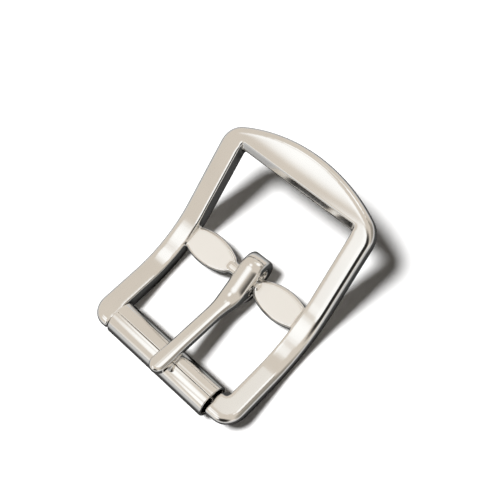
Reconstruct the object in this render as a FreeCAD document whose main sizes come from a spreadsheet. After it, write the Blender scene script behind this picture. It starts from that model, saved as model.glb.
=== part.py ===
import FreeCAD, Part
import math
import os

import Sketcher

# Roller buckle for a 25 mm strap. Every piece is drawn about the strap bar: the origin is the middle of
# the bar's axis, X runs along the bar, +Y points to the crescent bar and -Y to the roller.
# The pieces are then laid down together the way the buckle lies on a table.

V = FreeCAD.Vector
X_AXIS = V(1, 0, 0)
Y_AXIS = V(0, 1, 0)
Z_AXIS = V(0, 0, 1)

# Inner and outer radius of the prong's loop round the strap bar.
LOOP_INNER = "(Sizes.bar_radius + Sizes.loop_clear)"
LOOP_OUTER = f"({LOOP_INNER} + Sizes.strip_thick)"

# Driving dimensions in millimetres and degrees, one cell each.
SIZES = {
    "window_half": 12.75,
    "outer_half": 16.95,
    "window_reach": 18.7,
    "leg_thick": 3.2,
    "leg_rise": 1.5,
    "bend_radius": 18.0,
    "arm_up": 14.0,
    "arm_low": 35.0,
    "ridge_reach": 20.1,
    "crown_reach": 25.6,
    "crown_radius": 31.5,
    "crown_corner": 4.6,
    "crest_radius": 17.0,
    "end_reach": 20.9,
    "end_corner": 3.4,
    "foot_corner": 0.7,
    "foot_start": 15.9,
    "stub_half": 12.6,
    "stub_right": 11.35,
    "end_bar_reach": 18.7,
    "end_bar_radius": 1.8,
    "end_bar_drop": 0.45,
    "bevel_top": 1.3,
    "bevel_wall": 0.9,
    "edge_top": 1.2,
    "edge_under": 0.8,
    "edge_inner": 0.3,
    "bar_radius": 1.3,
    "petal_start": 3.1,
    "petal_start_half": 1.6,
    "petal_neck_half": 2.0,
    "petal_bow": 10.5,
    "petal_top": 1.0,
    "petal_under": 1.0,
    "petal_tilt": 12.0,
    "petal_edge": 0.45,
    "loop_clear": 0.1,
    "loop_front": 1.0,
    "loop_back": 2.1,
    "strip_thick": 1.5,
    "prong_slope": 38.0,
    "prong_thick": 1.7,
    "prong_bend": 5.0,
    "prong_reach": 24.6,
    "head_half": 2.15,
    "shank_half": 1.5,
    "tip_half": 1.65,
    "head_end": 3.0,
    "shank_start": 9.6,
    "shank_end": 17.4,
    "tip_start": 21.8,
    "prong_edge": 0.55,
    "prong_slit": 0.25,
    "slit_root": 0.8,
    "shank_root": 0.2,
    "prong_shift": 0.7,
    "roller_radius": 3.2,
    "roller_wall": 0.6,
    "roller_length": 23.3,
    "roller_gap": 0.08,
    "roller_shift": 0.72,
    "roller_skew": 2.0,
    "roller_edge": 0.15,
    "seam_width": 0.12,
    "seam_turn": -25.0,
    "root_overlap": 0.4,
    "cut_margin": 2.0,
}

# How close a point must be to a face, in millimetres, to count as lying on it.
NEAR = 1e-3


def new_sheet(doc):
    """Put every driving dimension in a cell of its own, named by its alias."""
    sheet = doc.addObject("Spreadsheet::Sheet", "Sizes")
    for row, (alias, value) in enumerate(SIZES.items(), start=1):
        sheet.set(f"A{row}", alias)
        sheet.set(f"B{row}", str(value))
        sheet.setAlias(f"B{row}", alias)
    doc.recompute()
    return sheet


def size(sheet, words):
    """The number that a formula of the sheet's aliases gives."""
    value = sheet.evalExpression(words)
    return value.Value if hasattr(value, "Value") else float(value)


def plane(body, role):
    """The body's own origin plane with this role."""
    return next(f for f in body.Origin.OriginFeatures if f.Role == role)


def new_sketch(body, name, role):
    sketch = body.newObject("Sketcher::SketchObject", name)
    sketch.AttachmentSupport = [(plane(body, role), "")]
    sketch.MapMode = "FlatFace"
    return sketch


def add_outline(sheet, sketch, corners):
    """Add one closed outline whose corners are bound to the sheet.

    Each corner is (across, up, radius): two formulas for its place and a third for the radius of the
    stretch that leaves it, or None where that stretch is straight. A minus before the radius turns the
    stretch clockwise.
    """
    places = [V(size(sheet, a), size(sheet, b), 0) for a, b, _ in corners]
    start = sketch.GeometryCount
    ends = []
    for i, (_, _, radius) in enumerate(corners):
        first, last = places[i], places[(i + 1) % len(places)]
        if radius is None:
            sketch.addGeometry(Part.LineSegment(first, last))
            ends.append((1, 2))
            continue
        clockwise = radius.startswith("-")
        r = size(sheet, radius.lstrip("-"))
        if clockwise:
            first, last = last, first
        chord = last - first
        rise = math.sqrt(max(r * r - chord.Length**2 / 4, 0))
        centre = (first + last) / 2 + V(-chord.y, chord.x, 0) / chord.Length * rise
        begin = math.atan2(first.y - centre.y, first.x - centre.x)
        finish = math.atan2(last.y - centre.y, last.x - centre.x)
        sketch.addGeometry(Part.ArcOfCircle(Part.Circle(centre, Z_AXIS, r), begin, finish))
        ends.append((2, 1) if clockwise else (1, 2))
    for i, (across, up, radius) in enumerate(corners):
        before = (i - 1) % len(corners)
        here = (start + i, ends[i][0])
        sketch.addConstraint(Sketcher.Constraint("Coincident", start + before, ends[before][1], *here))
        for kind, words, value, axis in (
            ("DistanceX", across, places[i].x, -2),
            ("DistanceY", up, places[i].y, -1),
        ):
            if abs(value) < 1e-9:
                sketch.addConstraint(Sketcher.Constraint("PointOnObject", *here, axis))
                continue
            number = sketch.addConstraint(Sketcher.Constraint(kind, -1, 1, *here, value))
            sketch.setExpression(f"Constraints[{number}]", words)
        if radius is not None:
            words = radius.lstrip("-")
            number = sketch.addConstraint(Sketcher.Constraint("Radius", start + i, size(sheet, words)))
            sketch.setExpression(f"Constraints[{number}]", words)


def add_circle(sheet, sketch, across, up, radius):
    """Add a circle whose centre and radius are bound to the sheet."""
    centre = V(size(sheet, across), size(sheet, up), 0)
    circle = sketch.addGeometry(Part.Circle(centre, Z_AXIS, size(sheet, radius)))
    for kind, words, value, axis in (("DistanceX", across, centre.x, -2), ("DistanceY", up, centre.y, -1)):
        if abs(value) < 1e-9:
            sketch.addConstraint(Sketcher.Constraint("PointOnObject", circle, 3, axis))
            continue
        number = sketch.addConstraint(Sketcher.Constraint(kind, -1, 1, circle, 3, value))
        sketch.setExpression(f"Constraints[{number}]", words)
    number = sketch.addConstraint(Sketcher.Constraint("Radius", circle, size(sheet, radius)))
    sketch.setExpression(f"Constraints[{number}]", radius)


def pad(body, name, sketch, length):
    """Raise the sketch by the same amount to both sides of its plane."""
    feature = body.newObject("PartDesign::Pad", name)
    feature.Profile = sketch
    feature.Midplane = True
    feature.setExpression("Length", length)
    return feature


def pocket_through(body, name, sketch):
    """Cut the sketch right through the body, both ways from its plane."""
    feature = body.newObject("PartDesign::Pocket", name)
    feature.Profile = sketch
    feature.Type = "ThroughAll"
    feature.Midplane = True
    return feature


def mirrored(corners):
    """The whole outline of a shape that is the same left and right, from its right half, bottom to top.

    A first corner at 0 lies on the middle line and is not repeated.
    """
    radii = [radius for _, _, radius in corners[-2::-1]] + [None]
    left = [(f"-({across})", up, radius) for (across, up, _), radius in zip(reversed(corners), radii)]
    return corners + (left[:-1] if corners[0][0] == "0" else left)


def edge_names(shape, test):
    """The names of the edges whose middle, and the edge itself, pass the test."""
    names = []
    for number, edge in enumerate(shape.Edges, start=1):
        middle = edge.valueAt((edge.FirstParameter + edge.LastParameter) / 2)
        if test(middle, edge):
            names.append(f"Edge{number}")
    return names


def is_upright(edge):
    """Whether the edge stands along the direction in which the outline was cut."""
    box = edge.BoundBox
    return box.XLength < NEAR and box.YLength < NEAR


def soften(body, name, kind, base, edges, words):
    """Round or bevel these edges by a size of the sheet."""
    feature = body.newObject(f"PartDesign::{kind}", name)
    feature.Base = (base, edges)
    feature.Refine = False
    feature.setExpression("Radius" if kind == "Fillet" else "Size", words)
    return feature


def arm_points(angle, side):
    """Formulas for the top and under ends of the frame's bend, and for a point along each arm."""
    turn = f"Sizes.{angle}"
    top = (
        f"{side}Sizes.bend_radius * sin({turn})",
        f"Sizes.leg_rise + Sizes.bend_radius * (1 - cos({turn}))",
    )
    deep = "(Sizes.bend_radius + Sizes.leg_thick)"
    under = (
        f"{side}{deep} * sin({turn})",
        f"Sizes.leg_rise + Sizes.bend_radius - {deep} * cos({turn})",
    )
    return top, under


def on_arm(point, angle, reach):
    """Formula for the height of an arm's face at this distance from the strap bar."""
    across, up = point
    return f"{up} + ({reach} - abs({across})) * tan(Sizes.{angle})"


def draw_side(sheet, body):
    """The bent band that the whole frame is cut from, seen from its side."""
    up_top, up_under = arm_points("arm_up", "")
    low_top, low_under = arm_points("arm_low", "-")
    beyond = "(Sizes.crown_reach + Sizes.cut_margin)"
    past_end = "(Sizes.end_reach + Sizes.cut_margin)"
    ridge = on_arm(up_top, "arm_up", "Sizes.ridge_reach")
    crest_over = f"({beyond} - Sizes.ridge_reach - Sizes.crest_radius * sin(Sizes.arm_up))"
    crest_end = (
        f"{ridge} - Sizes.crest_radius * cos(Sizes.arm_up)"
        f" + sqrt(Sizes.crest_radius^2 - {crest_over}^2)"
    )
    sketch = new_sketch(body, "SideOutline", "YZ_Plane")
    add_outline(
        sheet,
        sketch,
        [
            (*low_under, "(Sizes.bend_radius + Sizes.leg_thick)"),
            (*up_under, None),
            (beyond, on_arm(up_under, "arm_up", beyond), None),
            (beyond, crest_end, "Sizes.crest_radius"),
            ("Sizes.ridge_reach", ridge, None),
            (*up_top, "-Sizes.bend_radius"),
            (*low_top, None),
            (f"-{past_end}", on_arm(low_top, "arm_low", past_end), None),
            (f"-{past_end}", on_arm(low_under, "arm_low", past_end), None),
        ],
    )
    return sketch


def draw_plan(sheet, body):
    """What lies outside the frame, seen from above: arched at the crescent, square at the roller."""
    inset = "(Sizes.outer_half - Sizes.crown_corner)"
    reach = "(Sizes.crown_radius - Sizes.crown_corner)"
    crown_centre = "(Sizes.crown_reach - Sizes.crown_radius)"
    corner_up = f"sqrt({reach}^2 - {inset}^2)"
    scale = f"Sizes.crown_radius / {reach}"
    sketch = new_sketch(body, "PlanOutline", "XY_Plane")
    add_outline(
        sheet,
        sketch,
        mirrored(
            [
                ("Sizes.outer_half - Sizes.end_corner", "-Sizes.end_reach", "Sizes.end_corner"),
                ("Sizes.outer_half", "Sizes.end_corner - Sizes.end_reach", None),
                ("Sizes.outer_half", f"{crown_centre} + {corner_up}", "Sizes.crown_corner"),
                (f"{inset} * {scale}", f"{crown_centre} + {corner_up} * {scale}", "Sizes.crown_radius"),
            ]
        ),
    )
    far = "(Sizes.crown_reach + 3 * Sizes.cut_margin)"
    add_outline(sheet, sketch, mirrored([(far, f"-{far}", None), (far, far, None)]))
    return sketch


def draw_opening(sheet, body):
    """The opening between the legs, from the crescent bar out past the roller.

    The right foot reaches further in than the left one, up to the roller's end.
    """
    foot_deep = (
        "Sizes.foot_start + sqrt(Sizes.foot_corner^2"
        " - (Sizes.foot_corner - Sizes.window_half + Sizes.stub_half)^2)"
    )
    corners = mirrored(
        [
            ("Sizes.stub_half", "-Sizes.crown_reach", None),
            ("Sizes.stub_half", f"-({foot_deep})", "Sizes.foot_corner"),
            ("Sizes.window_half", "-Sizes.foot_start", None),
            ("Sizes.window_half", "Sizes.window_reach - Sizes.foot_corner", "Sizes.foot_corner"),
            ("Sizes.window_half - Sizes.foot_corner", "Sizes.window_reach", None),
        ]
    )
    shoulder = "-(Sizes.foot_start + Sizes.foot_corner)"
    corners[:2] = [
        ("Sizes.stub_right", "-Sizes.crown_reach", None),
        ("Sizes.stub_right", shoulder, None),
        ("Sizes.window_half - Sizes.foot_corner", shoulder, "Sizes.foot_corner"),
    ]
    sketch = new_sketch(body, "OpeningOutline", "XY_Plane")
    add_outline(sheet, sketch, corners)
    return sketch


def pocket_bevel(sheet, body):
    """Bevel the crescent bar's inner edge across the width of the window."""
    up_top, _ = arm_points("arm_up", "")
    window = "Sizes.window_reach"
    corner = on_arm(up_top, "arm_up", window)
    past = "(Sizes.bevel_top / 2)"
    drop = "(Sizes.bevel_wall + Sizes.bevel_top * tan(Sizes.arm_up)) / 2"
    sketch = new_sketch(body, "BevelOutline", "YZ_Plane")
    add_outline(
        sheet,
        sketch,
        [
            (f"{window} - {past}", f"{corner} - Sizes.bevel_wall - {drop}", None),
            (f"{window} + Sizes.bevel_top", on_arm(up_top, "arm_up", f"({window} + Sizes.bevel_top)"), None),
            (f"{window} + Sizes.bevel_top", f"{corner} + Sizes.cut_margin", None),
            (f"{window} - {past}", f"{corner} + Sizes.cut_margin", None),
        ],
    )
    feature = body.newObject("PartDesign::Pocket", "CrescentBevel")
    feature.Profile = sketch
    feature.Midplane = True
    feature.setExpression("Length", "2 * Sizes.window_half")
    return feature


def end_bar_height():
    """Formula for the height of the roller bar's axis, a little under the middle of the lower arm."""
    low_top, _ = arm_points("arm_low", "-")
    half_thick = "Sizes.leg_thick / 2 / cos(Sizes.arm_low)"
    return f"({on_arm(low_top, 'arm_low', 'Sizes.end_bar_reach')} - {half_thick} - Sizes.end_bar_drop)"


def make_bar(doc, sheet, name, place, radius, half_length):
    """A round bar along X, its middle at this place, given as formulas for Y and Z."""
    bar = doc.addObject("Part::Cylinder", name)
    bar.setExpression("Radius", radius)
    bar.setExpression("Height", f"2 * ({half_length})")
    bar.Placement = FreeCAD.Placement(V(0, 0, 0), FreeCAD.Rotation(Y_AXIS, 90))
    for axis, words in zip("xyz", (f"-({half_length})", *place)):
        bar.setExpression(f".Placement.Base.{axis}", words)
    return bar


def make_petals(doc, sheet):
    """The two leaf-shaped flats of the strap bar, one on each side of the prong, leaning to the roller."""
    body = doc.addObject("PartDesign::Body", "Petals")
    reach = "(Sizes.window_half + Sizes.root_overlap)"
    sketch = new_sketch(body, "PetalOutline", "XY_Plane")
    middle = "(Sizes.petal_top - Sizes.petal_under) / 2"
    tilt_sketch(sketch, middle, "Sizes.petal_tilt", size(sheet, "Sizes.petal_tilt"))
    for sign in ("", "-"):
        arc = "Sizes.petal_bow" if sign == "" else "-Sizes.petal_bow"
        add_outline(
            sheet,
            sketch,
            [
                (f"{sign}Sizes.petal_start", "-Sizes.petal_start_half", arc),
                (f"{sign}{reach}", "-Sizes.petal_neck_half", None),
                (f"{sign}{reach}", "Sizes.petal_neck_half", arc),
                (f"{sign}Sizes.petal_start", "Sizes.petal_start_half", None),
            ],
        )
    flats = pad(body, "Flats", sketch, "Sizes.petal_top + Sizes.petal_under")
    doc.recompute()

    def on_leaf(middle, edge):
        return isinstance(edge.Curve, Part.Circle)

    soften(body, "FlatEdge", "Chamfer", flats, edge_names(flats.Shape, on_leaf), "Sizes.petal_edge")
    return body


def make_band(doc, sheet):
    """The frame's bent legs and crescent bar, cut from one band and rounded."""
    body = doc.addObject("PartDesign::Body", "Band")
    pad(body, "Bend", draw_side(sheet, body), "2 * (Sizes.outer_half + Sizes.cut_margin)")
    pocket_through(body, "Trim", draw_plan(sheet, body))
    cut = pocket_through(body, "Opening", draw_opening(sheet, body))
    doc.recompute()

    outer = size(sheet, "Sizes.outer_half")
    crown = V(0, size(sheet, "Sizes.crown_reach - Sizes.crown_radius"), 0)
    crown_radius = size(sheet, "Sizes.crown_radius")
    end = size(sheet, "Sizes.end_reach")
    window = size(sheet, "Sizes.window_reach")
    window_half = size(sheet, "Sizes.window_half")
    foot = size(sheet, "Sizes.foot_start")
    corner_zone = size(sheet, "Sizes.end_corner / 2")

    def on_rim(middle, edge):
        flat = V(middle.x, middle.y, 0)
        corner = abs(middle.x) > outer - corner_zone and (middle.y > window or middle.y < corner_zone - end)
        on_side = abs(abs(middle.x) - outer) < NEAR
        on_crown = abs((flat - crown).Length - crown_radius) < NEAR
        on_end = abs(middle.y + end) < NEAR
        return not is_upright(edge) and (on_side or on_crown or on_end or corner)

    def height(middle):
        """Height of the band's middle at this distance from the strap bar."""
        reach = abs(middle.y)
        angle = math.radians(size(sheet, "Sizes.arm_up" if middle.y > 0 else "Sizes.arm_low"))
        radius = size(sheet, "Sizes.bend_radius + Sizes.leg_thick / 2")
        bend = radius * math.sin(angle)
        low = size(sheet, "Sizes.leg_rise - Sizes.leg_thick / 2")
        if reach < bend:
            return low + radius - math.sqrt(radius**2 - reach**2)
        return low + radius * (1 - math.cos(angle)) + (reach - bend) * math.tan(angle)

    def rim_top(middle, edge):
        return on_rim(middle, edge) and middle.z > height(middle)

    def rim_under(middle, edge):
        return on_rim(middle, edge) and middle.z <= height(middle)

    top = soften(body, "RimTop", "Fillet", cut, edge_names(cut.Shape, rim_top), "Sizes.edge_top")
    doc.recompute()
    under = soften(body, "RimUnder", "Fillet", top, edge_names(top.Shape, rim_under), "Sizes.edge_under")
    doc.recompute()

    def inner_edge(middle, edge):
        on_wall = abs(abs(middle.x) - window_half) < NEAR and -foot < middle.y < window
        return on_wall and middle.z > height(middle) and edge.Length > 1 and not is_upright(edge)

    soften(body, "InnerEdge", "Fillet", under, edge_names(under.Shape, inner_edge), "Sizes.edge_inner")
    pocket_bevel(sheet, body)
    return body


def make_frame(doc, sheet):
    """The cast frame: legs and crescent bar, strap bar with its two flats, and the bar in the roller."""
    strap_bar = make_bar(doc, sheet, "StrapBar", ("0", "0"), "Sizes.bar_radius", "Sizes.petal_start + Sizes.root_overlap")
    end_bar = make_bar(
        doc, sheet, "EndBar", ("-Sizes.end_bar_reach", end_bar_height()),
        "Sizes.end_bar_radius", "Sizes.stub_half + Sizes.root_overlap",
    )
    frame = doc.addObject("Part::MultiFuse", "Frame")
    frame.Label = "frame"
    frame.Shapes = [make_band(doc, sheet), make_petals(doc, sheet), strap_bar, end_bar]
    return frame


def tilt_sketch(sketch, lift, words, degrees):
    """Lift a sketch of the XY plane and turn it about X, its +Y side downwards."""
    sketch.AttachmentOffset = FreeCAD.Placement(V(0, 0, 0), FreeCAD.Rotation(X_AXIS, -degrees))
    sketch.setExpression(".AttachmentOffset.Base.z", lift)
    sketch.setExpression(".AttachmentOffset.Rotation.Angle", f"-{words}")


def sway(from_half, from_reach, to_half, to_reach, turns):
    """Corners of a smooth change of half width between two places along the prong, in two equal arcs."""
    start, finish = f"Sizes.{from_half}", f"Sizes.{to_half}"
    near, far = f"Sizes.{from_reach}", f"Sizes.{to_reach}"
    radius = f"((({near} - {far})^2 + ({start} - {finish})^2) / (4 * abs({start} - {finish})))"
    return [
        (start, f"-{near}", f"{turns[0]}{radius}"),
        (f"({start} + {finish}) / 2", f"-({near} + {far}) / 2", f"{turns[1]}{radius}"),
        (finish, f"-{far}", None),
    ]


def shank_line():
    """Formulas of the shank's sloping underside, where it bends away from the head, and its rise."""
    slope = "Sizes.prong_slope"
    away = "(Sizes.roller_radius + Sizes.roller_gap)"
    touch_across = f"({away} * sin({slope}) - Sizes.end_bar_reach)"
    touch_up = f"({end_bar_height()} + {away} * cos({slope}))"
    rise = f"(Sizes.prong_thick / cos({slope}))"

    def under(across):
        return f"({touch_up} + ({touch_across} - ({across})) * tan({slope}))"

    knee = f"({touch_across} + ({touch_up} + {rise} - {LOOP_OUTER}) / tan({slope}))"
    return under, knee, rise


def add_stadium(sheet, body, name, radius):
    """The outline of the loop, a slot shape with its long way along Y."""
    sketch = new_sketch(body, name, "YZ_Plane")
    front, back = "-Sizes.loop_front", "Sizes.loop_back"
    add_outline(
        sheet,
        sketch,
        [
            (back, f"-{radius}", radius),
            (f"{back} + {radius}", "0", radius),
            (back, radius, None),
            (front, radius, radius),
            (f"{front} - {radius}", "0", radius),
            (front, f"-{radius}", None),
        ],
    )
    return sketch


def make_prong(doc, sheet):
    """The prong: a flat strip bent into a loop round the strap bar, its shank running out to the roller."""
    body = doc.addObject("PartDesign::Body", "Prong")
    body.Label = "prong"
    under, knee, rise = shank_line()
    slope = "Sizes.prong_slope"
    width = "2 * Sizes.head_half"
    bend = f"(Sizes.prong_bend * tan({slope} / 2))"
    tip = f"-(Sizes.prong_reach * cos({slope}) + Sizes.cut_margin)"
    front = "-Sizes.loop_front"

    pad(body, "Loop", add_stadium(sheet, body, "LoopOutline", LOOP_OUTER), width)
    side = new_sketch(body, "ShankSide", "YZ_Plane")
    add_outline(
        sheet,
        side,
        [
            ("0", f"{LOOP_INNER} + Sizes.shank_root", None),
            ("0", LOOP_OUTER, None),
            (f"{knee} + {bend}", LOOP_OUTER, "-Sizes.prong_bend"),
            (f"{knee} - {bend} * cos({slope})", f"{LOOP_OUTER} + {bend} * sin({slope})", None),
            (tip, f"{under(tip)} + {rise}", None),
            (tip, under(tip), None),
            (front, under(front), None),
        ],
    )
    pad(body, "Shank", side, width)
    pocket_through(body, "LoopHole", add_stadium(sheet, body, "HoleOutline", LOOP_INNER))

    gap = new_sketch(body, "SlitOutline", "YZ_Plane")
    outside = f"-(Sizes.loop_front + {LOOP_OUTER} + Sizes.cut_margin)"
    inside = "-(Sizes.loop_front + Sizes.slit_root)"
    add_outline(
        sheet,
        gap,
        [
            (outside, under(outside), None),
            (outside, f"{under(outside)} - Sizes.prong_slit", None),
            (inside, f"{under(inside)} - Sizes.prong_slit", None),
            (inside, under(inside), None),
        ],
    )
    pocket_through(body, "LoopSlit", gap)

    plan = new_sketch(body, "PlanOutline", "XY_Plane")
    tilt_sketch(plan, "0", "Sizes.prong_slope", size(sheet, slope))
    add_outline(
        sheet,
        plan,
        mirrored(
            [
                ("0", "-Sizes.prong_reach", "Sizes.tip_half"),
                ("Sizes.tip_half", "Sizes.tip_half - Sizes.prong_reach", None),
                *sway("tip_half", "tip_start", "shank_half", "shank_end", ("", "-")),
                *sway("shank_half", "shank_start", "head_half", "head_end", ("-", "")),
                ("Sizes.head_half", "Sizes.prong_reach", None),
            ]
        ),
    )
    far = "(Sizes.prong_reach + 2 * Sizes.cut_margin)"
    add_outline(sheet, plan, mirrored([(far, f"-{far}", None), (far, far, None)]))
    cut = pocket_through(body, "PlanTrim", plan)
    doc.recompute()

    hole = size(sheet, f"{LOOP_INNER} + Sizes.loop_clear")
    front_end = size(sheet, "Sizes.loop_front")
    back_end = size(sheet, "Sizes.loop_back")
    shank = size(sheet, "Sizes.shank_half")
    slit = size(sheet, "Sizes.prong_slit")

    turn = math.radians(size(sheet, slope))
    down = V(0, math.cos(turn), -math.sin(turn))
    square = V(0, math.sin(turn), math.cos(turn))
    under_level = V(0, 0, size(sheet, under("0"))).dot(square)

    def on_strip_edge(middle, edge):
        inside_hole = abs(middle.z) < hole and -front_end - hole < middle.y < back_end + hole
        on_side = abs(middle.x) > shank / 2
        first, last = (vertex.Point for vertex in edge.Vertexes)
        along = last - first
        straight = edge.Length - along.Length < NEAR
        across = abs(along.x) > along.Length - NEAR
        through = straight and abs(along.dot(square)) > along.Length - NEAR
        in_slit = abs(along.dot(down)) > along.Length - NEAR and middle.dot(square) < under_level - slit / 2
        return on_side and not (across or inside_hole or through or in_slit)

    soften(body, "StripEdge", "Fillet", cut, edge_names(cut.Shape, on_strip_edge), "Sizes.prong_edge")
    return body


def make_roller(doc, sheet):
    """The roller: sheet metal rolled into a tube, with the seam left open by a hair."""
    body = doc.addObject("PartDesign::Body", "Roller")
    body.Label = "roller"
    ring = new_sketch(body, "RingOutline", "YZ_Plane")
    add_circle(sheet, ring, "0", "0", "Sizes.roller_radius")
    add_circle(sheet, ring, "0", "0", "Sizes.roller_radius - Sizes.roller_wall")
    pad(body, "Tube", ring, "Sizes.roller_length")
    seam = new_sketch(body, "SeamOutline", "XY_Plane")
    half = "(Sizes.seam_width / 2)"
    past = "(Sizes.roller_length / 2 + Sizes.cut_margin)"
    add_outline(sheet, seam, mirrored([(past, f"-{half}", None), (past, half, None)]))
    cut = body.newObject("PartDesign::Pocket", "Seam")
    cut.Profile = seam
    cut.Type = "ThroughAll"
    cut.Reversed = True
    doc.recompute()

    end = size(sheet, "Sizes.roller_length / 2")

    def on_end(middle, edge):
        return abs(abs(middle.x) - end) < NEAR and edge.Length > 1

    soften(body, "EndEdge", "Fillet", cut, edge_names(cut.Shape, on_end), "Sizes.roller_edge")
    return body


def rest_turn(sheet):
    """How far the buckle leans until the bend of its legs and the prong's loop both touch the table."""
    centre = size(sheet, "Sizes.leg_rise + Sizes.bend_radius")
    front = size(sheet, "Sizes.loop_front")
    deeper = size(sheet, f"Sizes.bend_radius + Sizes.leg_thick - {LOOP_OUTER}")
    return math.degrees(math.atan2(front, centre) + math.acos(deeper / math.hypot(front, centre)))


def lay_down(sheet, pieces):
    """Put the pieces where they belong on one another, then lay them all on the table together."""
    frame, prong, roller = pieces
    turn_x = FreeCAD.Rotation(X_AXIS, rest_turn(sheet))
    skew = FreeCAD.Rotation(Z_AXIS, -size(sheet, "Sizes.roller_skew"))
    seam = FreeCAD.Rotation(X_AXIS, size(sheet, "Sizes.seam_turn"))
    bar = V(-size(sheet, "Sizes.roller_shift"), -size(sheet, "Sizes.end_bar_reach"), size(sheet, end_bar_height()))
    frame.Placement = FreeCAD.Placement(V(0, 0, 0), turn_x)
    prong.Placement = FreeCAD.Placement(turn_x.multVec(V(size(sheet, "Sizes.prong_shift"), 0, 0)), turn_x)
    roller.Placement = FreeCAD.Placement(turn_x.multVec(bar), skew * turn_x * seam)
    box = FreeCAD.BoundBox()
    for piece in pieces:
        box.add(piece.Shape.optimalBoundingBox(True, False))
    onto_table = FreeCAD.Placement(V(-box.Center.x, -box.Center.y, -box.ZMin), FreeCAD.Rotation())
    for piece in pieces:
        piece.Placement = onto_table * piece.Placement


def check(doc, pieces):
    """Stop unless every object was computed and every piece is one valid solid."""
    failed = [obj.Name for obj in doc.Objects if {"Invalid", "Error"} & set(obj.State)]
    if failed:
        raise RuntimeError(f"not computed: {failed}")
    for piece in pieces:
        shape = piece.Shape
        if shape.isNull() or not shape.isValid() or len(shape.Solids) != 1:
            raise RuntimeError(f"{piece.Label} is not one valid solid")


def main():
    doc = FreeCAD.newDocument("RollerBuckle")
    sheet = new_sheet(doc)
    pieces = [make_frame(doc, sheet), make_prong(doc, sheet), make_roller(doc, sheet)]
    doc.recompute()
    lay_down(sheet, pieces)
    doc.recompute()
    check(doc, pieces)
    os.makedirs("parts", exist_ok=True)
    for piece in pieces:
        piece.Shape.exportStep(f"parts/{piece.Label}.step")
        middle = piece.Placement.Base
        print(f"{piece.Label}: {piece.Shape.Volume:.1f} mm3, drawn about {middle.x:.4f} {middle.y:.4f} {middle.z:.4f}")


main()
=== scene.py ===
"""Looks of a roller buckle: polished plated metal on a pale studio floor, seen from above."""

import logging
import math
from dataclasses import dataclass, field
from enum import Enum

import bpy
from mathutils import Euler, Matrix, Vector


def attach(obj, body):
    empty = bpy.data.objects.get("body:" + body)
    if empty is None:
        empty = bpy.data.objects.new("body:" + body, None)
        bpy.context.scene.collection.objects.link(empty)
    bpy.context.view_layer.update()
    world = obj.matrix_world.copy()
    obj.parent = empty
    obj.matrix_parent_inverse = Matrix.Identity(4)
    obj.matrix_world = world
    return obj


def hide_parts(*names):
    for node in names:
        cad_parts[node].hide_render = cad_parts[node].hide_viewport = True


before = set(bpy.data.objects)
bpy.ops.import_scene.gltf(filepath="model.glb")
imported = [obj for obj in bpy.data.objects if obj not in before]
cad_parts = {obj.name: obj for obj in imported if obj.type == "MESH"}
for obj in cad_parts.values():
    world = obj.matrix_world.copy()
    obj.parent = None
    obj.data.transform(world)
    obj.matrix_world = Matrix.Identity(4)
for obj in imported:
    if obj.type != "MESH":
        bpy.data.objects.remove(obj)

LOG = logging.getLogger("buckle")
MM = 0.001
LEAF_NORMAL = (0.0, -0.1966, 0.9805)
NICKEL = (0.83, 0.82, 0.80)
SHEET_NICKEL = (0.84, 0.83, 0.81)

Range = tuple[float, float]
Tone = tuple[float, float, float]
Node = bpy.types.Node
Socket = bpy.types.NodeSocket
Tree = bpy.types.NodeTree


def socket(sockets: bpy.types.bpy_prop_collection, name: str) -> Socket:
    """The socket with this identifier, for nodes that have several of one name."""
    return next(s for s in sockets if s.identifier == name)


def calculate(tree: Tree, operation: str, *terms: Socket | float) -> Socket:
    """Work out one number in a node tree.

    Args:
        tree: The node tree.
        operation: What is done with the terms.
        terms: Sockets or plain numbers, in order.

    Returns:
        The socket with the result.
    """
    node = tree.nodes.new("ShaderNodeMath")
    node.operation = operation
    for slot, term in zip(node.inputs, terms):
        if isinstance(term, Socket):
            tree.links.new(term, slot)
        else:
            slot.default_value = term
    return node.outputs[0]


def remap(tree: Tree, value: Socket, source: Range, target: Range = (0.0, 1.0), soft: bool = False) -> Socket:
    """Carry a number from one range to another, held at both ends.

    Args:
        tree: The node tree.
        value: The socket with the number.
        source: The range it is read in.
        target: The range it is carried to.
        soft: Whether it eases in and out.

    Returns:
        The socket with the result.
    """
    node = tree.nodes.new("ShaderNodeMapRange")
    if soft:
        node.interpolation_type = "SMOOTHSTEP"
    numbers = {"From Min": source[0], "From Max": source[1], "To Min": target[0], "To Max": target[1]}
    for name, number in numbers.items():
        node.inputs[name].default_value = number
    tree.links.new(value, node.inputs["Value"])
    return node.outputs["Result"]


def blend(tree: Tree, share: Socket, under: Socket, over: Socket | Tone) -> Socket:
    """Lay one colour over another.

    Args:
        tree: The node tree.
        share: How much of the upper colour shows.
        under: The lower colour.
        over: The upper colour, a socket or a plain colour.

    Returns:
        The socket with the mixed colour.
    """
    node = tree.nodes.new("ShaderNodeMix")
    node.data_type = "RGBA"
    tree.links.new(share, node.inputs["Factor"])
    tree.links.new(under, socket(node.inputs, "A_Color"))
    upper = socket(node.inputs, "B_Color")
    if isinstance(over, Socket):
        tree.links.new(over, upper)
    else:
        upper.default_value = (*over, 1.0)
    return socket(node.outputs, "Result_Color")


class Surface(Enum):
    """How finely a metal surface is finished."""

    POLISHED = "polished"
    SATIN_FLATS = "polished with satin flats"


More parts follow.
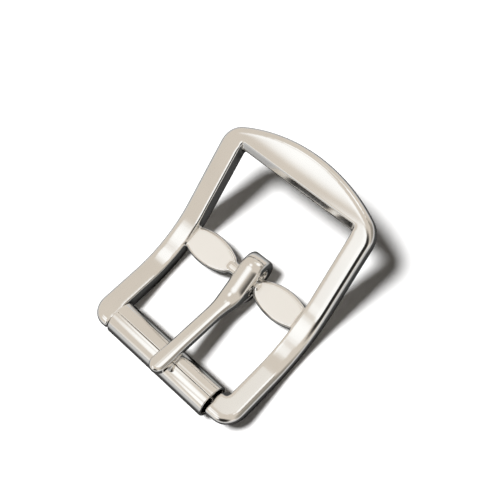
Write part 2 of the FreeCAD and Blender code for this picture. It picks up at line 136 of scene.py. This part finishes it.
@dataclass(frozen=True)
class Plating:
    """One plated finish: its colour, gloss and how strongly fine marks show."""

    name: str
    colour: Tone
    roughness: float
    grain: float = 0.02
    surface: Surface = Surface.POLISHED
    mark_strength: float = 0.08
    mark_depth_mm: float = 0.02
    satin_roughness: float = 0.38
    satin_colour: Tone = (0.91, 0.90, 0.875)
    flats_half_length_mm: float = 12.5
    flats_middle_mm: float = 1.2
    flats_half_width_mm: float = 4.2
    crown_slope: float = 0.0
    crown_middle_mm: float = 0.0
    crown_half_mm: float = 1.5

    def build(self, effects: "Effects") -> bpy.types.Material:
        """Make the node material for this finish.

        Args:
            effects: The shared shader groups.

        Returns:
            The material, ready to put on a mesh.
        """
        material = bpy.data.materials.new(self.name)
        material.use_nodes = True
        tree = material.node_tree
        shader = tree.nodes["Principled BSDF"]
        shader.inputs["Metallic"].default_value = 1.0
        marks = effects.place(tree, "marks", {"Colour": (*self.colour, 1.0), "Roughness": self.roughness,
                                              "Grain": self.grain})
        skin = self.satin(tree, effects, marks) if self.surface is Surface.SATIN_FLATS else marks
        tree.links.new(skin.outputs["Colour"], shader.inputs["Base Color"])
        tree.links.new(skin.outputs["Roughness"], shader.inputs["Roughness"])
        bump = tree.nodes.new("ShaderNodeBump")
        bump.inputs["Strength"].default_value = self.mark_strength
        bump.inputs["Distance"].default_value = self.mark_depth_mm * MM
        tree.links.new(marks.outputs["Height"], bump.inputs["Height"])
        tree.links.new(bump.outputs["Normal"], shader.inputs["Normal"])
        if self.crown_slope:
            tree.links.new(self.crown(tree, effects), bump.inputs["Normal"])
        return material

    def satin(self, tree: Tree, effects: "Effects", marks: Node) -> Node:
        """Turn the leaves of the strap bar satin.

        Args:
            tree: The material's node tree.
            effects: The shared shader groups.
            marks: The node with the polished metal's colour and roughness.

        Returns:
            The node with the colour and roughness of the whole piece.
        """
        flats = effects.place(tree, "flats", {
            "Satin Colour": (*self.satin_colour, 1.0), "Satin Roughness": self.satin_roughness,
            "Half Length": self.flats_half_length_mm * MM, "Middle": self.flats_middle_mm * MM,
            "Half Width": self.flats_half_width_mm * MM})
        for name in ("Colour", "Roughness"):
            tree.links.new(marks.outputs[name], flats.inputs[name])
        return flats

    def crown(self, tree: Tree, effects: "Effects") -> Socket:
        """Round the strip across its width.

        Args:
            tree: The material's node tree.
            effects: The shared shader groups.

        Returns:
            The socket with the rounded strip's normal.
        """
        height = effects.place(tree, "crown", {
            "Middle": self.crown_middle_mm * MM, "Half Width": self.crown_half_mm * MM,
            "Slope": self.crown_slope})
        swell = tree.nodes.new("ShaderNodeBump")
        swell.inputs["Distance"].default_value = 1.0
        tree.links.new(height.outputs["Height"], swell.inputs["Height"])
        return swell.outputs["Normal"]


@dataclass
class Effects:
    """Shader groups that every finish shares, each built once."""

    fine_scale: float = 2600.0
    fine_detail: float = 3.0
    cloud_scale: float = 160.0
    cloud_detail: float = 2.0
    cloud_range: Range = (0.3, 0.7)
    cloud_tones: Range = (0.965, 1.0)
    level_range: Range = (0.95, 0.995)
    groups: dict[str, Tree] = field(default_factory=dict)

    def build(self) -> None:
        """Build the groups."""
        self.groups["marks"] = self.marks()
        self.groups["flats"] = self.flats()
        self.groups["crown"] = self.crown()

    def place(self, tree: Tree, name: str, values: dict[str, object]) -> Node:
        """Put a group in a material and set its inputs.

        Args:
            tree: The material's node tree.
            name: Which group.
            values: The values of its inputs, by name.

        Returns:
            The group node.
        """
        node = tree.nodes.new("ShaderNodeGroup")
        node.node_tree = self.groups[name]
        for label, value in values.items():
            node.inputs[label].default_value = value
        return node

    @staticmethod
    def start(name: str, inputs: dict[str, str], outputs: dict[str, str]) -> tuple[Tree, Node, Node, Node]:
        """Open a group with its named inputs and outputs.

        Args:
            name: The group's name.
            inputs: Its inputs by name, each with its kind.
            outputs: Its outputs by name, each with its kind.

        Returns:
            The group, its input node, its output node and the node with places on the piece.
        """
        group = bpy.data.node_groups.new(name, "ShaderNodeTree")
        for way, labels in (("INPUT", inputs), ("OUTPUT", outputs)):
            for label, kind in labels.items():
                group.interface.new_socket(label, in_out=way, socket_type=f"NodeSocket{kind}")
        kinds = ("NodeGroupInput", "NodeGroupOutput", "ShaderNodeTexCoord")
        return group, *(group.nodes.new(kind) for kind in kinds)

    @staticmethod
    def noise(group: Tree, place: Node, scale: float, detail: float) -> Socket:
        """Make a soft random pattern.

        Args:
            group: The group it goes in.
            place: The node with places on the piece.
            scale: How fine it is, per metre.
            detail: How many finer layers it has.

        Returns:
            The socket with the pattern, from 0 to 1.
        """
        node = group.nodes.new("ShaderNodeTexNoise")
        node.inputs["Scale"].default_value = scale
        node.inputs["Detail"].default_value = detail
        group.links.new(place.outputs["Object"], node.inputs["Vector"])
        return node.outputs["Fac"]

    def marks(self) -> Tree:
        """Fine polishing grain, faint cloudiness of the plating and a matching height.

        Returns:
            The group.
        """
        group, start, end, place = self.start(
            "fine_marks", {"Colour": "Color", "Roughness": "Float", "Grain": "Float"},
            {"Colour": "Color", "Roughness": "Float", "Height": "Float"})
        fine = self.noise(group, place, self.fine_scale, self.fine_detail)
        cloud = self.noise(group, place, self.cloud_scale, self.cloud_detail)
        centred = calculate(group, "SUBTRACT", fine, 0.5)
        rough = calculate(group, "MULTIPLY_ADD", centred, start.outputs["Grain"], start.outputs["Roughness"])
        tint = group.nodes.new("ShaderNodeVectorMath")
        tint.operation = "SCALE"
        group.links.new(start.outputs["Colour"], tint.inputs[0])
        group.links.new(remap(group, cloud, self.cloud_range, self.cloud_tones), tint.inputs["Scale"])
        group.links.new(tint.outputs["Vector"], end.inputs["Colour"])
        group.links.new(rough, end.inputs["Roughness"])
        group.links.new(fine, end.inputs["Height"])
        return group

    def crown(self) -> Tree:
        """Swell a narrow strip gently across its width, as a height that falls off to both sides.

        Returns:
            The group.
        """
        group, start, end, place = self.start(
            "crowned_strip", {"Middle": "Float", "Half Width": "Float", "Slope": "Float"},
            {"Height": "Float"})
        split = group.nodes.new("ShaderNodeSeparateXYZ")
        group.links.new(place.outputs["Object"], split.inputs[0])
        away = calculate(group, "SUBTRACT", split.outputs["X"], start.outputs["Middle"])
        square = calculate(group, "MULTIPLY", away, away)
        scaled = calculate(group, "MULTIPLY", square, start.outputs["Slope"])
        shared = calculate(group, "DIVIDE", scaled, start.outputs["Half Width"])
        group.links.new(calculate(group, "MULTIPLY", shared, -0.5), end.inputs["Height"])
        return group

    def flats(self) -> Tree:
        """Turn the level faces of the strap bar's two leaves satin and leave their rims polished.

        Returns:
            The group.
        """
        group, start, end, place = self.start(
            "satin_flats", {"Colour": "Color", "Satin Colour": "Color", "Roughness": "Float",
                            "Satin Roughness": "Float", "Half Length": "Float", "Middle": "Float",
                            "Half Width": "Float"}, {"Colour": "Color", "Roughness": "Float"})
        split = group.nodes.new("ShaderNodeSeparateXYZ")
        group.links.new(place.outputs["Object"], split.inputs[0])
        across = calculate(group, "ABSOLUTE", split.outputs["X"])
        off_middle = calculate(group, "SUBTRACT", split.outputs["Y"], start.outputs["Middle"])
        along = calculate(group, "ABSOLUTE", off_middle)
        in_length = calculate(group, "LESS_THAN", across, start.outputs["Half Length"])
        in_width = calculate(group, "LESS_THAN", along, start.outputs["Half Width"])
        level = group.nodes.new("ShaderNodeVectorMath")
        level.operation = "DOT_PRODUCT"
        level.inputs[1].default_value = LEAF_NORMAL
        group.links.new(place.outputs["Normal"], level.inputs[0])
        facing = remap(group, level.outputs["Value"], self.level_range, soft=True)
        mask = calculate(group, "MULTIPLY", calculate(group, "MULTIPLY", in_length, in_width), facing)
        colour = blend(group, mask, start.outputs["Colour"], start.outputs["Satin Colour"])
        rough = group.nodes.new("ShaderNodeMix")
        group.links.new(mask, rough.inputs["Factor"])
        group.links.new(start.outputs["Roughness"], rough.inputs["A"])
        group.links.new(start.outputs["Satin Roughness"], rough.inputs["B"])
        group.links.new(colour, end.inputs["Colour"])
        group.links.new(rough.outputs["Result"], end.inputs["Roughness"])
        return group


@dataclass
class Casting:
    """A piece that keeps its solid, with its edges worn round by polishing."""

    node: str
    voxel_mm: float
    passes: int
    wear: float = 0.5

    def dress(self, finish: bpy.types.Material) -> bpy.types.Object:
        """Soften the CAD node and give it its metal.

        Args:
            finish: The metal.

        Returns:
            The dressed object.
        """
        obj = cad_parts[self.node]
        mesh = obj.modifiers.new("even_mesh", "REMESH")
        mesh.mode = "VOXEL"
        mesh.voxel_size = self.voxel_mm * MM
        mesh.use_smooth_shade = True
        worn = obj.modifiers.new("worn_edges", "SMOOTH")
        worn.factor = self.wear
        worn.iterations = self.passes
        obj.data.materials.clear()
        obj.data.materials.append(finish)
        return obj


@dataclass
class RolledTube:
    """The roller: sheet rolled into a tube, with its rims eased and a hair of a seam left open."""

    radius_mm: float = 3.2
    wall_mm: float = 0.6
    length_mm: float = 23.3
    ease_mm: float = 0.18
    seam_mm: float = 0.12
    seam_turn: float = -25.0
    lean: float = 23.344
    skew: float = -2.0
    place_mm: tuple[float, float, float] = (-0.72, -19.2255, 3.4304)
    steps: int = 144
    corner_steps: int = 5

    def section(self) -> list[tuple[float, float]]:
        """Draw the wall's outline along the tube, its corners eased.

        Returns:
            Its points, each a place along the tube and a radius.
        """
        half, ease = self.length_mm / 2, self.ease_mm
        outer, inner = self.radius_mm, self.radius_mm - self.wall_mm
        corners = ((half, outer, 90.0), (-half, outer, 180.0), (-half, inner, 270.0), (half, inner, 360.0))
        points = []
        for along, radius, last in corners:
            centre_x = along - math.copysign(ease, along)
            centre_r = radius - ease if radius == outer else radius + ease
            for step in range(self.corner_steps + 1):
                turn = math.radians(last - 90.0 * (1 - step / self.corner_steps))
                points.append((centre_x + ease * math.cos(turn), centre_r + ease * math.sin(turn)))
        return points

    def roll(self) -> bpy.types.Mesh:
        """Turn the section round the axis and leave the seam open.

        Returns:
            The tube's mesh, about its own middle, seam upward.
        """
        section = self.section()
        gap = math.degrees(self.seam_mm / self.radius_mm)
        vertices, faces = [], []
        for step in range(self.steps + 1):
            turn = math.radians(90.0 + gap / 2 + (360.0 - gap) * step / self.steps)
            vertices += [(x * MM, r * math.cos(turn) * MM, r * math.sin(turn) * MM) for x, r in section]
        count = len(section)
        for step in range(self.steps):
            here, there = step * count, (step + 1) * count
            for i in range(count):
                j = (i + 1) % count
                faces.append((here + i, here + j, there + j, there + i))
        faces.append(tuple(reversed(range(count))))
        faces.append(tuple(self.steps * count + i for i in range(count)))
        mesh = bpy.data.meshes.new("roller_tube")
        mesh.from_pydata(vertices, [], faces)
        for polygon in mesh.polygons:
            polygon.use_smooth = len(polygon.vertices) == 4
        return mesh

    def build(self, finish: bpy.types.Material) -> bpy.types.Object:
        """Make the tube and put it in its place on the end bar.

        Args:
            finish: The metal.

        Returns:
            The roller.
        """
        mesh = self.roll()
        mesh.materials.append(finish)
        obj = bpy.data.objects.new("roller_tube", mesh)
        turned = (Euler((0, 0, math.radians(self.skew))).to_matrix()
                  @ Euler((math.radians(self.lean + self.seam_turn), 0, 0)).to_matrix())
        obj.matrix_world = Matrix.Translation(Vector(self.place_mm) * MM) @ turned.to_4x4()
        bpy.context.scene.collection.objects.link(obj)
        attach(obj, "roller")
        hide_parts("roller")
        return obj


@dataclass(frozen=True)
class Glow:
    """One soft patch of the room as the metal mirrors it: where it is, how wide, and its colour."""

    azimuth: float
    height: float
    radius: float
    edge: float
    colour: Tone

    def centre(self) -> Vector:
        """Find the direction of its middle.

        Returns:
            A unit vector; the azimuth is counted from +Y towards +X.
        """
        across, up = math.radians(self.azimuth), math.radians(self.height)
        return Vector((math.sin(across) * math.cos(up), math.cos(across) * math.cos(up), math.sin(up)))

    def shine(self, tree: Tree, place: Node, under: Socket) -> Socket:
        """Lay the patch over the room's colour so far.

        Args:
            tree: The world's node tree.
            place: The node with the direction that is looked in.
            under: The room's colour so far.

        Returns:
            The socket with the room's colour with this patch.
        """
        near = tree.nodes.new("ShaderNodeVectorMath")
        near.operation = "DOT_PRODUCT"
        near.inputs[1].default_value = self.centre()
        tree.links.new(place.outputs["Generated"], near.inputs[0])
        rim = math.cos(math.radians(self.radius + self.edge))
        full = math.cos(math.radians(max(self.radius - self.edge, 0.0)))
        mask = remap(tree, near.outputs["Value"], (rim, full), soft=True)
        return blend(tree, mask, under, self.colour)


WHITE = (1.22, 1.22, 1.21)
PALE = (0.98, 0.95, 0.90)
TAN = (0.77, 0.70, 0.615)
DUSK = (0.34, 0.31, 0.27)
BLACK = (0.025, 0.024, 0.022)
BACKDROP = (1.0, 1.0, 1.0)


@dataclass
class Studio:
    """Floor, light, camera and the room that the metal mirrors."""

    room: tuple[Glow, ...] = (
        Glow(60.0, 12.0, 30.0, 14.0, DUSK),
        Glow(40.0, 46.0, 8.0, 5.0, DUSK),
        Glow(8.0, 56.0, 10.0, 4.0, WHITE),
        Glow(150.0, 26.0, 27.0, 12.0, BLACK),
        Glow(112.0, 0.0, 12.0, 6.0, PALE),
        Glow(185.0, 33.0, 12.0, 3.0, WHITE),
        Glow(214.0, 58.0, 12.0, 9.0, WHITE),
        Glow(200.0, 3.0, 9.0, 6.0, PALE),
        Glow(268.0, 69.0, 6.0, 6.0, WHITE),
        Glow(337.0, 57.0, 4.0, 4.0, PALE),
    )
    room_on_floor: float = 0.09
    key_place_mm: tuple[float, float, float] = (-160.0, -150.0, 640.0)
    key_angle: float = 15.0
    key_power: float = 4.2
    floor_size: float = 3.0
    floor_white: float = 0.93
    floor_roughness: float = 0.9
    # Painted reflection on the floor: the slant range and the tones that glossy rays see in place of the
    # white.
    painted_reflection_slants: Range = (0.35, 0.75)
    painted_reflection_tones: Range = (0.05, 0.50)
    camera_place_mm: tuple[float, float, float] = (61.595, -37.6099, 182.8015)
    camera_turn: tuple[float, float, float] = (22.6001, 6.1985, 41.5449)
    lens_mm: float = 77.476
    sensor_mm: float = 36.0
    camera_near: float = 0.01
    camera_far: float = 10.0

    def key(self) -> None:
        """Hang the key light, which only lays the soft shadow and isn't mirrored by the metal."""
        data = bpy.data.lights.new("key", "SUN")
        data.angle = math.radians(self.key_angle)
        data.energy = self.key_power
        obj = bpy.data.objects.new("key", data)
        obj.location = Vector(self.key_place_mm) * MM
        obj.rotation_euler = (-Vector(self.key_place_mm)).to_track_quat("-Z", "Y").to_euler()
        obj.visible_glossy = False
        bpy.context.scene.collection.objects.link(obj)

    def floor(self) -> None:
        """Lay the white floor; in rays that the metal mirrors, its white is swapped for a painted reflection
        tone, dark from straight above and pale at a slant.
        """
        bpy.ops.mesh.primitive_plane_add(size=self.floor_size, location=(0, 0, 0))
        obj = bpy.context.object
        obj.name = "floor"
        material = bpy.data.materials.new("paper_and_painted_reflection")
        material.use_nodes = True
        tree = material.node_tree
        shader = tree.nodes["Principled BSDF"]
        shader.inputs["Roughness"].default_value = self.floor_roughness
        shader.inputs["Specular IOR Level"].default_value = 0.0
        # Painted reflection: glossy rays get a painted tone instead of the white, dark where the floor is
        # seen from straight above and pale at a slant, standing in for shade.
        slant = tree.nodes.new("ShaderNodeLayerWeight")
        mirrored = remap(tree, slant.outputs["Facing"], self.painted_reflection_slants, self.painted_reflection_tones, soft=True)
        path = tree.nodes.new("ShaderNodeLightPath")
        seen = tree.nodes.new("ShaderNodeMix")
        seen.inputs["A"].default_value = self.floor_white
        tree.links.new(path.outputs["Is Glossy Ray"], seen.inputs["Factor"])
        tree.links.new(mirrored, seen.inputs["B"])
        paper_and_painted_reflection = tree.nodes.new("ShaderNodeCombineColor")
        for channel in ("Red", "Green", "Blue"):
            tree.links.new(seen.outputs["Result"], paper_and_painted_reflection.inputs[channel])
        tree.links.new(paper_and_painted_reflection.outputs["Color"], shader.inputs["Base Color"])
        obj.data.materials.append(material)

    def camera(self) -> None:
        """Set the camera at the photograph's angle."""
        data = bpy.data.cameras.new("camera")
        data.sensor_width = self.sensor_mm
        data.lens = self.lens_mm
        data.clip_start = self.camera_near
        data.clip_end = self.camera_far
        obj = bpy.data.objects.new("camera", data)
        obj.location = Vector(self.camera_place_mm) * MM
        obj.rotation_euler = Euler([math.radians(a) for a in self.camera_turn], "XYZ")
        bpy.context.scene.collection.objects.link(obj)
        bpy.context.scene.camera = obj

    def world(self) -> None:
        """Fill the room with soft patches of light over an even warm grey."""
        world = bpy.data.worlds.new("room")
        world.use_nodes = True
        tree = world.node_tree
        back = tree.nodes["Background"]
        place = tree.nodes.new("ShaderNodeTexCoord")
        wall = tree.nodes.new("ShaderNodeRGB")
        wall.outputs[0].default_value = (*TAN, 1.0)
        colour = wall.outputs[0]
        for glow in self.room:
            colour = glow.shine(tree, place, colour)
        path = tree.nodes.new("ShaderNodeLightPath")
        power = remap(tree, path.outputs["Is Diffuse Ray"], (0.0, 1.0), (1.0, self.room_on_floor))
        tree.links.new(power, back.inputs["Strength"])
        shown = blend(tree, path.outputs["Is Camera Ray"], colour, BACKDROP)
        tree.links.new(shown, back.inputs["Color"])
        bpy.context.scene.world = world
        bpy.context.scene.view_settings.view_transform = "Standard"


def main() -> None:
    """Build the looks piece by piece."""
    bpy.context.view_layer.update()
    logging.basicConfig(level=logging.INFO, format="%(message)s")
    effects = Effects()
    effects.build()
    cast = Plating("nickel_cast", NICKEL, 0.11, surface=Surface.SATIN_FLATS).build(effects)
    polished = Plating("nickel_polished", NICKEL, 0.10, crown_slope=0.38, crown_middle_mm=0.6).build(effects)
    rolled = Plating("nickel_rolled", SHEET_NICKEL, 0.09).build(effects)
    LOG.info("dressed %s", Casting("frame", voxel_mm=0.18, passes=12).dress(cast).name)
    LOG.info("dressed %s", Casting("prong", voxel_mm=0.1, passes=30).dress(polished).name)
    LOG.info("built %s", RolledTube().build(rolled).name)
    studio = Studio()
    studio.floor()
    studio.camera()
    studio.world()
    studio.key()


if __name__ == "__main__":
    main()
